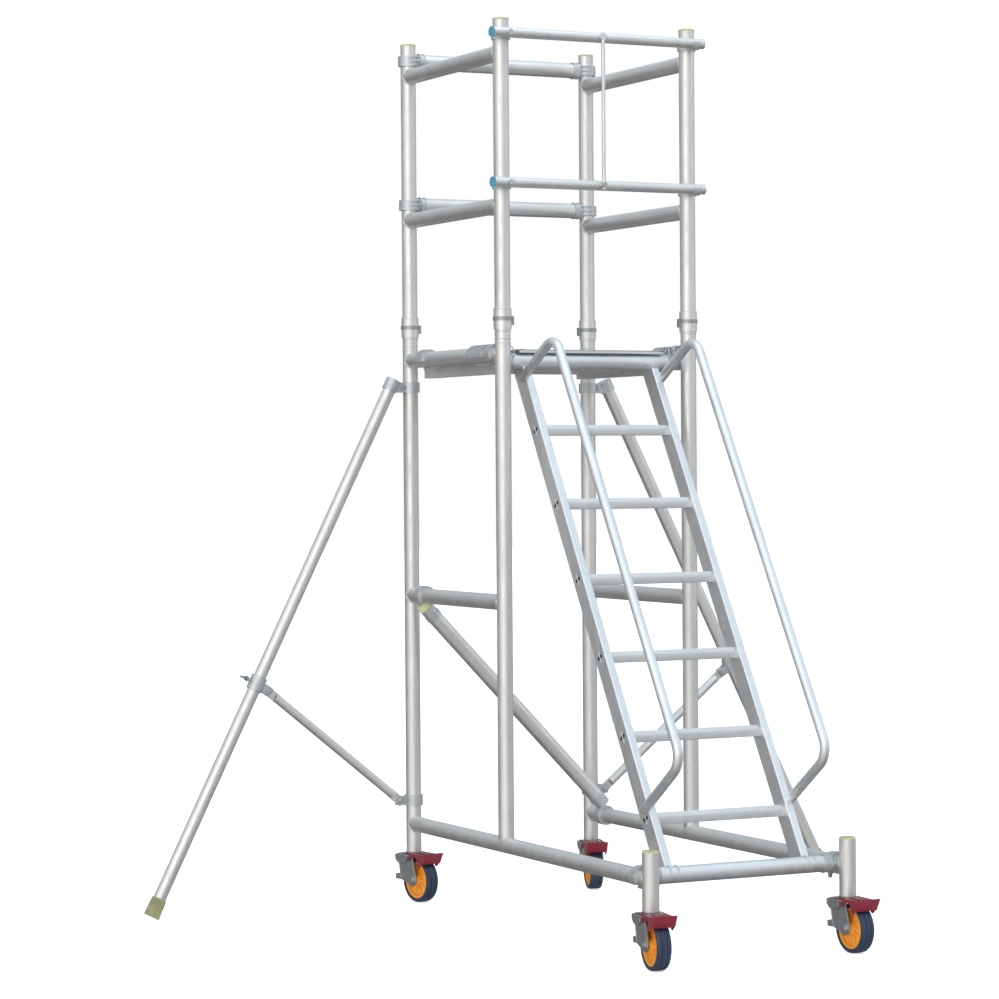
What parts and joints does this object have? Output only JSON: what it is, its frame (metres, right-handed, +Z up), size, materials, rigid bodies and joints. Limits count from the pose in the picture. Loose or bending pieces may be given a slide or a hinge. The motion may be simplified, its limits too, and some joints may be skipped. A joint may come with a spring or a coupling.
{
  "type": "mobile tower scaffold",
  "caption": "Aluminium tube tower on braked swivel castors with a guarded work platform, front stair ladder with handrails, lift gate and two side outriggers.",
  "frame": {"origin": "bottom centre of the whole object, on the ground", "axes": "+Z up, +Y to the rear, the stair ladder is at -Y, +X to the right seen from the ladder"},
  "size_m": [2.6163, 1.8338, 2.895],
  "materials": {
    "tube_alloy": "satin extruded tube",
    "ladder_alloy": "bright extruded section",
    "cast_alloy": "sand-cast, slightly rough",
    "deck_panel": "ribbed panel",
    "zinc_steel": "zinc-plated pressed steel",
    "cap_plastic": "moulded plastic",
    "gate_cap_plastic": "moulded plastic",
    "foot_rubber": "moulded rubber",
    "tyre": "matt rubber",
    "wheel_centre": "moulded nylon",
    "pedal_paint": "red painted pressing"
  },
  "bodies": {
    "tower": {"castor_stems": "zinc_steel", "deck_board": "deck_panel", "deck_frame": "tube_alloy", "deck_hooks": "cast_alloy", "diagonal_brace": "tube_alloy", "diagonal_claws": "cast_alloy", "frame_spigots": "tube_alloy", "gate_pivot_brackets": "cast_alloy", "gate_rest_hooks": "cast_alloy", "ladder_bottom_tube": "ladder_alloy", "ladder_claws": "cast_alloy", "ladder_rungs": "ladder_alloy", "ladder_top_tube": "ladder_alloy", "left_guard_frame": "tube_alloy", "left_handrail": "ladder_alloy", "left_side_frame": "tube_alloy", "left_stile": "ladder_alloy", "post_caps": "cap_plastic", "rear_knee_rail": "tube_alloy", "rear_rail_claws": "cast_alloy", "rear_top_rail": "tube_alloy", "right_guard_frame": "tube_alloy", "right_handrail": "ladder_alloy", "right_side_frame": "tube_alloy", "right_stile": "ladder_alloy", "spigot_clips": "zinc_steel"},
    "front_left_castor": {"front_left_fork": "zinc_steel", "front_left_axle": "zinc_steel"},
    "front_left_wheel": {"front_left_hub": "wheel_centre", "front_left_tyre": "tyre"},
    "front_left_brake": {"front_left_pedal": "pedal_paint"},
    "front_right_castor": {"front_right_fork": "zinc_steel", "front_right_axle": "zinc_steel"},
    "front_right_wheel": {"front_right_hub": "wheel_centre", "front_right_tyre": "tyre"},
    "front_right_brake": {"front_right_pedal": "pedal_paint"},
    "rear_left_castor": {"rear_left_fork": "zinc_steel", "rear_left_axle": "zinc_steel"},
    "rear_left_wheel": {"rear_left_hub": "wheel_centre", "rear_left_tyre": "tyre"},
    "rear_left_brake": {"rear_left_pedal": "pedal_paint"},
    "rear_right_castor": {"rear_right_fork": "zinc_steel", "rear_right_axle": "zinc_steel"},
    "rear_right_wheel": {"rear_right_hub": "wheel_centre", "rear_right_tyre": "tyre"},
    "rear_right_brake": {"rear_right_pedal": "pedal_paint"},
    "left_outrigger": {"left_outrigger_clamps": "cast_alloy", "left_outrigger_foot": "foot_rubber", "left_outrigger_leg": "tube_alloy", "left_outrigger_strut": "tube_alloy"},
    "right_outrigger": {"right_outrigger_clamps": "cast_alloy", "right_outrigger_foot": "foot_rubber", "right_outrigger_leg": "tube_alloy", "right_outrigger_strut": "tube_alloy"},
    "upper_gate_bar": {"gate_upper_bar": "tube_alloy", "gate_upper_cap": "gate_cap_plastic"},
    "lower_gate_bar": {"gate_lower_bar": "tube_alloy", "gate_lower_cap": "gate_cap_plastic", "gate_link_pin": "zinc_steel"},
    "gate_link": {"gate_link_rod": "tube_alloy"}
  },
  "joints": [
    {"name": "front_left_swivel", "type": "hinge", "parent": "tower", "child": "front_left_castor", "pos_m": [-0.34, -0.792, 0.156], "axis": [0, 0, 1], "continuous": true},
    {"name": "front_left_roll", "type": "hinge", "parent": "front_left_castor", "child": "front_left_wheel", "pos_m": [-0.34529, -0.82963, 0.075], "axis": [0.9903, -0.1392, 0], "continuous": true},
    {"name": "front_left_brake_press", "type": "hinge", "parent": "front_left_castor", "child": "front_left_brake", "pos_m": [-0.34278, -0.8118, 0.146], "axis": [0.9903, -0.1392, 0], "range_deg": [0, 8], "stiffness_Nm_per_rad": 1.2, "springref_deg": -6.88},
    {"name": "front_right_swivel", "type": "hinge", "parent": "tower", "child": "front_right_castor", "pos_m": [0.34, -0.792, 0.156], "axis": [0, 0, 1], "continuous": true},
    {"name": "front_right_roll", "type": "hinge", "parent": "front_right_castor", "child": "front_right_wheel", "pos_m": [0.34066, -0.82999, 0.075], "axis": [0.9998, 0.0175, 0], "continuous": true},
    {"name": "front_right_brake_press", "type": "hinge", "parent": "front_right_castor", "child": "front_right_brake", "pos_m": [0.34035, -0.812, 0.146], "axis": [0.9998, 0.0175, 0], "range_deg": [0, 8], "stiffness_Nm_per_rad": 1.2, "springref_deg": -6.88},
    {"name": "rear_left_swivel", "type": "hinge", "parent": "tower", "child": "rear_left_castor", "pos_m": [-0.34, 0.848, 0.156], "axis": [0, 0, 1], "continuous": true},
    {"name": "rear_left_roll", "type": "hinge", "parent": "rear_left_castor", "child": "rear_left_wheel", "pos_m": [-0.3334, 0.81058, 0.075], "axis": [0.9848, 0.1736, 0], "continuous": true},
    {"name": "rear_left_brake_press", "type": "hinge", "parent": "rear_left_castor", "child": "rear_left_brake", "pos_m": [-0.33653, 0.8283, 0.146], "axis": [0.9848, 0.1736, 0], "range_deg": [0, 8], "stiffness_Nm_per_rad": 1.2, "springref_deg": -6.88},
    {"name": "rear_right_swivel", "type": "hinge", "parent": "tower", "child": "rear_right_castor", "pos_m": [0.34, 0.848, 0.156], "axis": [0, 0, 1], "continuous": true},
    {"name": "rear_right_roll", "type": "hinge", "parent": "rear_right_castor", "child": "rear_right_wheel", "pos_m": [0.32889, 0.81166, 0.075], "axis": [0.9563, -0.2924, 0], "continuous": true},
    {"name": "rear_right_brake_press", "type": "hinge", "parent": "rear_right_castor", "child": "rear_right_brake", "pos_m": [0.33415, 0.82887, 0.146], "axis": [0.9563, -0.2924, 0], "range_deg": [0, 8], "stiffness_Nm_per_rad": 1.2, "springref_deg": -6.88},
    {"name": "gate_lift", "type": "hinge", "parent": "tower", "child": "upper_gate_bar", "pos_m": [-0.34, 0.097, 2.843], "axis": [0, -1, 0], "range_deg": [0, 75]},
    {"name": "gate_lower_follow", "type": "hinge", "parent": "tower", "child": "lower_gate_bar", "pos_m": [-0.34, 0.097, 2.369], "axis": [0, -1, 0], "range_deg": [0, 75]},
    {"name": "gate_link_swing", "type": "hinge", "parent": "upper_gate_bar", "child": "gate_link", "pos_m": [-0.01, 0.097, 2.843], "axis": [0, -1, 0], "range_deg": [-75, 0]},
    {"name": "left_outrigger_swing", "type": "hinge", "parent": "tower", "child": "left_outrigger", "pos_m": [-0.34, 0.848, 0.342], "axis": [0, 0, -1], "range_deg": [-50, 90]},
    {"name": "right_outrigger_swing", "type": "hinge", "parent": "tower", "child": "right_outrigger", "pos_m": [0.34, 0.848, 0.342], "axis": [0, 0, 1], "range_deg": [-50, 90]}
  ],
  "couplings": [
    {"joint": "gate_lower_follow", "follows": "gate_lift", "ratio": 1},
    {"joint": "gate_link_swing", "follows": "gate_lift", "ratio": -1}
  ]
}
